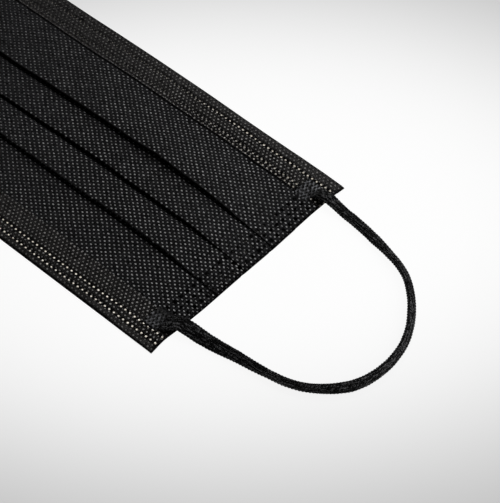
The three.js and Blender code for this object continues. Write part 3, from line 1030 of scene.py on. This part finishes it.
class MASK_OT_weld_dots(bpy.types.Operator):
    """Sets the rows of ultrasonic weld dots into the hems"""

    bl_idname = "mask.weld_dots"
    bl_label = "Weld dots"

    def execute(self, context):
        hem = context.scene.mask_hem
        cloth_shape = ClothShape(context.scene.mask_cloth, hem)
        tree = dot_row_tree()
        dot = dot_mesh("weld_dot", hem.dot_size / MM, hem.dot_width / MM)
        material = weld_dot_material(hem.dot)
        for name, side, rows in HEMS:
            shape = HemShape(side, rows, cloth_shape, hem)
            parts = []
            for number, row in enumerate(rows):
                xs = np.linspace(-row.reach, row.reach, 120)
                line = line_object("row", [(x, shape.row_y(row, x), ABOVE) for x in xs])
                values = {
                    "Hem": bpy.data.objects[f"{name}_ply"],
                    "Dot": dot,
                    "Material": material,
                    "Pitch": hem.dot_pitch,
                    "Bright": row.bright,
                    "Weak at": row.weak[0] * MM,
                    "Full at": row.weak[1] * MM,
                    "Scatter": DOT_SCATTER * MM,
                    "Seed": FIRST_SEED + number,
                }
                parts.append(run_nodes(line, f"{name}_dots_{number}", tree, values))
            obj = join(f"{name}_weld_dots", parts)
            obj.data.shade_smooth()
            declare(obj, "hem_cloth")
        bpy.data.objects.remove(dot)
        return {"FINISHED"}


# The horn's marks on the cloth are larger than the loop's pressed ends: below and above them, and to each
# side by HORN_SPREAD. light: how much darker the pad is drawn off the hem, from 0 to 1.
HornMark = namedtuple("HornMark", "below above light")
HORN_MARKS = {"nose": HornMark(1.8, 0.0, 0.0), "chin": HornMark(0.9, 1.4, 0.75)}
HORN_SPREAD = 0.4


def weld_pad(name, low, high, base, light, loop):
    """A flattened, knurled end of elastic on the hem, between two corners, standing on height base. light:
    see HornMark."""
    columns, rows = 66, 96
    a, b = np.meshgrid(np.linspace(-1, 1, columns), np.linspace(-1, 1, rows), indexing="ij")
    size = (high - low) / 2
    middle = (high + low) / 2
    # A square of points bent to rounded corners.
    x = middle[0] + size[0] * a * np.sqrt(1 - 0.16 * b**4)
    y = middle[1] + size[1] * b * np.sqrt(1 - 0.16 * a**4)
    rim = np.maximum(np.abs(a), np.abs(b))
    full = 1 - smooth_step((rim - 0.82) / 0.16)
    # Rows of pits that the horn's teeth press, each row half a pitch out of step with the next.
    pitch, stray = loop.knurl_pitch / MM, np.vectorize(wander)
    down = y / (0.8 * pitch) + 0.2 * stray(np.abs(x), y, 5.9, 1.6)
    away = (np.abs(x) - HALF) / pitch + 0.5 * (np.floor(down) % 2) + 0.2 * stray(np.abs(x), y, 1.7, 1.6)
    pit = np.exp(-(((away % 1 - 0.5) / 0.28) ** 4) - ((down % 1 - 0.5) / 0.47) ** 4)
    height = 0.05 + full * (0.15 + loop.knurl_depth / MM * (1 - pit))
    off_hem = np.minimum(NOSE_HEM_EDGE - y, y - CHIN_HEM_EDGE)
    ground = base - 0.2 * smooth_step(off_hem)  # it steps down from the hem to the cloth
    z = ground + height * (1 - smooth_step((rim - 0.9) / 0.1) * 0.8)
    # The top, and a flat bottom of which only the outline is kept.
    points = np.stack([[x, y, z], [x, y, np.full(x.shape, base - 0.3)]])
    points = points.transpose(0, 2, 3, 1).reshape(-1, 3)
    grid = np.arange(columns * rows).reshape(columns, rows)
    face = np.stack([grid[:-1, :-1], grid[1:, :-1], grid[1:, 1:], grid[:-1, 1:]], axis=-1).reshape(-1, 4)
    outline = np.concatenate([grid[:, 0], grid[-1, 1:], grid[-2::-1, -1], grid[0, -2:0:-1]])
    after, under = np.roll(outline, -1), outline + grid.size
    wall = np.stack([under, after + grid.size, after, outline], axis=-1)
    keep = np.unique(np.concatenate([grid.ravel(), under]))
    renumber = np.zeros(2 * grid.size, dtype=int)
    renumber[keep] = np.arange(len(keep))
    faces = [renumber[f] for f in (*face, *wall, under[::-1])]
    obj = new_mesh(name, points[keep], faces)
    # Painted shade blackens the pits and the rim, and the pad is darker off the hem by light.
    off_hem_dark = light * smooth_step((off_hem + 2.6) / 1.6)
    dark = np.maximum(np.maximum(pit, 1 - full), off_hem_dark)
    store(obj, "knurl", np.concatenate([dark.ravel(), np.ones(grid.size)])[keep])
    return obj


class MASK_OT_loop_welds(bpy.types.Operator):
    """Makes the knurled welds that hold the ear loops' ends"""

    bl_idname = "mask.loop_welds"
    bl_label = "Loop welds"

    def execute(self, context):
        loop = context.scene.mask_loop
        shape = ClothShape(context.scene.mask_cloth, context.scene.mask_hem)
        base = shape.hem_top(HALF) + PLY_GAP + context.scene.mask_hem.thickness / MM
        material = knurl_material(loop.melt)
        for hand in ("right", "left"):
            for edge, mark in HORN_MARKS.items():
                node = f"loop_weld_{edge}_{hand}"
                low, high = frame_box(node)
                low -= (HORN_SPREAD, mark.below, 0)
                high += (HORN_SPREAD, mark.above, 0)
                obj = weld_pad(f"{edge}_{hand}_knurled_weld", low, high, base, mark.light, loop)
                obj.data.materials.append(material)
                declare(obj, "loop_weld", node)
        return {"FINISHED"}


def spline_points(knots, count):
    """count points evenly spaced along a smooth curve through the knots."""
    knots = np.asarray(knots, dtype=float)
    ends = [2 * knots[0] - knots[1], 2 * knots[-1] - knots[-2]]
    p = np.concatenate([[ends[0]], knots, [ends[1]]])
    t = np.linspace(0, 1, 24, endpoint=False)[:, None]
    curve = []
    for i in range(1, len(p) - 2):
        a, b, c, d = p[i - 1], p[i], p[i + 1], p[i + 2]
        curve.append(
            0.5 * (2 * b + (c - a) * t + (2 * a - 5 * b + 4 * c - d) * t**2 + (3 * b - a - 3 * c + d) * t**3)
        )
    curve = np.concatenate([*curve, knots[-1:]])
    length = np.concatenate([[0.0], np.cumsum(np.linalg.norm(np.diff(curve, axis=0), axis=1))])
    even = np.linspace(0, length[-1], count)
    return np.column_stack([np.interp(even, length, curve[:, k]) for k in range(3)]), length[-1]


STITCH = 1.15  # length of a knitted stitch along the loop


def loop_section(loop, angle, along_mm):
    """Groove depth, 0 to 1, and outward bulge round the loop's section, one value per angle."""
    drift = np.array([0.5 * wander(along_mm, 3.0 * math.sin(a), 2.3 * math.cos(a), 14.0) for a in angle])
    turn = (angle + drift) * loop.rib_count / (2 * math.pi)
    across = np.abs((turn % 1) - 0.5) * 2  # 0 on a rib's crest, 1 in the groove beside it
    # Each rib is a chain of stitches, half a stitch out of step with the next.
    lean = (turn % 1 - 0.5) * 0.5
    stitch = np.cos(2 * math.pi * (along_mm / STITCH + 0.5 * np.floor(turn) + lean))
    groove = np.clip(across**2.6 + 0.35 * (0.5 - 0.5 * stitch) * (1 - across), 0, 1)
    bumps = np.array([wander(along_mm, 2.0 * math.sin(a), 9.1 + 2.0 * math.cos(a), 3.0) for a in angle])
    return groove, 0.09 * bumps + 0.05 * stitch


LOOP_GIRTH = 9.6  # round the loop's section
FULL_RIBS = 2.2  # the ribs are full where the loop is this thick, and shallower where it is pressed


def loop_mesh(name, side, loop):
    """The knitted loop as a closed ribbed tube, and the line that it follows."""
    rings, sides = 800, 72
    route = np.array(LOOP_ROUTE) / MM
    route[:, 2] -= LOOP_SINK * np.clip(LOOP_SINK_FROM - route[:, 0], 0, None) ** 2
    centre, length = spline_points(route, rings)
    share = np.linspace(0, 1, rings)
    centre[:, 1] += heights_through(LOOP_ASIDE, share)
    along, *shapes = np.array(LOOP_SHAPE).T
    width, thick, twist = (heights_through(list(zip(along, shape)), share) for shape in shapes)
    twist = np.radians(twist)
    tangent = np.gradient(centre, axis=0)
    tangent /= np.linalg.norm(tangent, axis=1, keepdims=True)
    across = np.cross([0.0, 0.0, 1.0], tangent)
    across /= np.linalg.norm(across, axis=1, keepdims=True)
    above = np.cross(tangent, across)
    angle = np.arange(sides) * 2 * math.pi / sides
    around = angle / (2 * math.pi) * LOOP_GIRTH
    points, marks = [], []
    for i in range(rings):
        groove, bumps = loop_section(loop, angle, share[i] * length)
        inset = (loop.rib_depth / MM * groove - bumps) * min(1.0, thick[i] / FULL_RIBS)
        u = (width[i] / 2 - inset) * np.cos(angle)
        v = (thick[i] / 2 - inset) * np.sin(angle)
        c, s = math.cos(twist[i]), math.sin(twist[i])
        offset = (u * c - v * s)[:, None] * across[i] + (u * s + v * c)[:, None] * above[i]
        points.append(centre[i] + offset)
        # The painted groove shade is lighter near the pressed ends.
        depth = 0.35 + 0.65 * smooth_step(min(share[i], 1 - share[i]) / 0.07)
        marks.append(np.column_stack([np.full(sides, share[i] * length), around, depth * groove]))
    points = np.concatenate(points)
    points[:, 2] = np.maximum(points[:, 2], TABLE_GAP)
    grid = np.arange(rings * sides).reshape(rings, sides)
    after = np.roll(grid, -1, axis=1)
    faces = np.stack([grid[1:], after[1:], after[:-1], grid[:-1]], axis=-1).reshape(-1, 4).tolist()
    faces += [grid[0].tolist(), grid[-1][::-1].tolist()]
    if side < 0:
        points *= (-1, 1, 1)
        centre *= (-1, 1, 1)
        faces = [f[::-1] for f in faces]
    obj = new_mesh(name, points, faces)
    store(obj, "loop_mm", np.concatenate(marks))
    return obj, centre, length


class MASK_OT_ear_loops(bpy.types.Operator):
    """Makes the knitted ear loops lying beyond the ends"""

    bl_idname = "mask.ear_loops"
    bl_label = "Ear loops"

    def execute(self, context):
        loop = context.scene.mask_loop
        material = elastic_material(loop.yarn)
        for hand, side in (("right", 1), ("left", -1)):
            obj, centre, length = loop_mesh(f"{hand}_ear_elastic", side, loop)
            obj.data.materials.append(material)
            node = f"ear_loop_{hand}"
            declare(obj, "ear_elastic", node)
        return {"FINISHED"}


# ---------------------------------------------------------------- stage


class MASK_OT_stage(bpy.types.Operator):
    """Makes the pale floor, the soft lights and the camera"""

    bl_idname = "mask.stage"
    bl_label = "Stage"

    def execute(self, context):
        stage = context.scene.mask_stage
        add_floor(stage)
        add_lights(context, stage)
        add_camera(context, stage)
        return {"FINISHED"}


# The table glows in an oval pool. Its place and sizes are in metres, as those of the lights and the camera.
GLOW_MIDDLE = (0.0641, 0.0105)
GLOW_TURN = 0.743  # radians from the mask's length to the pool's
GLOW_REACH = (0.1717, 0.1159)  # half the pool's length and width
GLOW_POWER = 5.0  # how suddenly it ends
GLOW_LEAST = 0.3  # brightness far outside it, as a share of the middle's
TABLE_HALF = 4000.0  # half the table's width
TABLE_GAP = 0.02  # the lowest yarn lies this far above it


def add_floor(stage):
    """A pale table of opal sheet whose emission paints a soft pool of light, brightest round the mask's
    right end.
    """
    corners = ((-1, -1), (1, -1), (1, 1), (-1, 1))
    floor = new_mesh("floor", [(TABLE_HALF * x, TABLE_HALF * y, 0) for x, y in corners], [[0, 1, 2, 3]])
    material, add = new_material("floor, matte opal acrylic lit from below")
    pool = {
        "Vector": add("ShaderNodeTexCoord").outputs["Object"],
        "Location": (*GLOW_MIDDLE, 0.0),
        "Rotation": (0.0, 0.0, GLOW_TURN),
        "Scale": (*GLOW_REACH, 1.0),
    }
    pool = add("ShaderNodeMapping", pool, vector_type="TEXTURE")
    reach = add("ShaderNodeVectorMath", pool, operation="LENGTH").outputs[1]
    drop = add("ADD", add("POWER", reach, GLOW_POWER), 1.0)
    glow = add("ADD", add("DIVIDE", 1 - GLOW_LEAST, drop), GLOW_LEAST)
    glow = add("MULTIPLY", glow, stage.glow)
    sheet = {"Base Color": (*stage.floor, 1), "Roughness": 0.9}
    finish_material(add, {**sheet, "Emission Color": (1.0, 1.0, 1.0, 1), "Emission Strength": glow})
    floor.data.materials.append(material)


def add_area_light(name, place, target, size, power):
    """A square soft light at place, aimed at target, in metres."""
    data = bpy.data.lights.new(name, "AREA")
    data.shape = "SQUARE"
    data.size = size
    data.energy = power
    light = bpy.data.objects.new(name, data)
    aim = (Vector(target) - Vector(place)).to_track_quat("-Z", "Y")
    light.matrix_world = Matrix.LocRotScale(Vector(place), aim, None)
    bpy.context.collection.objects.link(light)


KEY_PLACE, KEY_TARGET, KEY_SIZE = (0.30, 0.20, 0.21), (0.06, 0.0, 0.0), 0.38
FILL_PLACE, FILL_TARGET, FILL_SIZE = (-0.43, 0.40, 0.85), (0.06, -0.04, 0.0), 0.2
CAMERA_PLACE = (0.3923, -0.3357, 0.578)
CAMERA_FORWARD = (-0.4191, 0.4610, -0.7822)
CAMERA_UP = (-0.5262, 0.5788, 0.6230)
SENSOR = 36.0  # width in millimetres


def add_lights(context, stage):
    """A large soft light beyond the mask, a soft one over it, and a pale room."""
    add_area_light("key", KEY_PLACE, KEY_TARGET, KEY_SIZE, stage.key_power)
    add_area_light("fill", FILL_PLACE, FILL_TARGET, FILL_SIZE, stage.fill_power)
    world = bpy.data.worlds.new("pale room")
    world.use_nodes = True
    light = world.node_tree.nodes["Background"].inputs
    light["Color"].default_value = (1.0, 1.0, 1.0, 1)
    light["Strength"].default_value = stage.room
    context.scene.world = world
    context.scene.view_settings.view_transform = "Standard"


def add_camera(context, stage):
    """The camera, level across, looking down at the mask's right end from its chin side."""
    data = bpy.data.cameras.new("camera")
    data.lens = stage.lens / MM
    data.sensor_width = SENSOR
    camera = bpy.data.objects.new("camera", data)
    forward = Vector(CAMERA_FORWARD).normalized()
    right = forward.cross(Vector(CAMERA_UP)).normalized()
    up = right.cross(forward)
    turn = Matrix((right, up, -forward)).transposed().to_4x4()
    camera.matrix_world = Matrix.Translation(CAMERA_PLACE) @ turn
    data.clip_start = 0.01
    data.clip_end = 20.0
    bpy.context.collection.objects.link(camera)
    context.scene.camera = camera


# ---------------------------------------------------------------- add-on


class MASK_PT_panel(bpy.types.Panel):
    """Lists the mask's settings and steps"""

    bl_label = "Surgical mask"
    bl_idname = "MASK_PT_panel"
    bl_space_type = "VIEW_3D"
    bl_region_type = "UI"
    bl_category = "Mask"

    def draw(self, context):
        scene = context.scene
        for name in SETTINGS:
            box = self.layout.box()
            group = getattr(scene, name)
            for prop in group.bl_rna.properties:
                if prop.identifier not in {"rna_type", "name"}:
                    box.prop(group, prop.identifier)
        for operator in OPERATORS:
            self.layout.operator(operator.bl_idname)


SETTINGS = {
    "mask_cloth": ClothSettings,
    "mask_hem": HemSettings,
    "mask_loop": LoopSettings,
    "mask_stage": StageSettings,
}
OPERATORS = (
    MASK_OT_stage,
    MASK_OT_ear_loops,
    MASK_OT_pleated_cloth,
    MASK_OT_hems,
    MASK_OT_weld_dots,
    MASK_OT_loop_welds,
)


def register():
    """Registers the settings, the operators and the panel."""
    for name, group in SETTINGS.items():
        bpy.utils.register_class(group)
        setattr(bpy.types.Scene, name, bpy.props.PointerProperty(type=group))
    for cls in (*OPERATORS, MASK_PT_panel):
        bpy.utils.register_class(cls)


def unregister():
    """Removes what register added."""
    for cls in (MASK_PT_panel, *reversed(OPERATORS)):
        bpy.utils.unregister_class(cls)
    for name, group in SETTINGS.items():
        delattr(bpy.types.Scene, name)
        bpy.utils.unregister_class(group)


def main():
    """Builds the mask and its stage in order."""
    register()
    for operator in OPERATORS:
        group, name = operator.bl_idname.split(".")
        getattr(getattr(bpy.ops, group), name)()


if __name__ == "__main__":
    main()
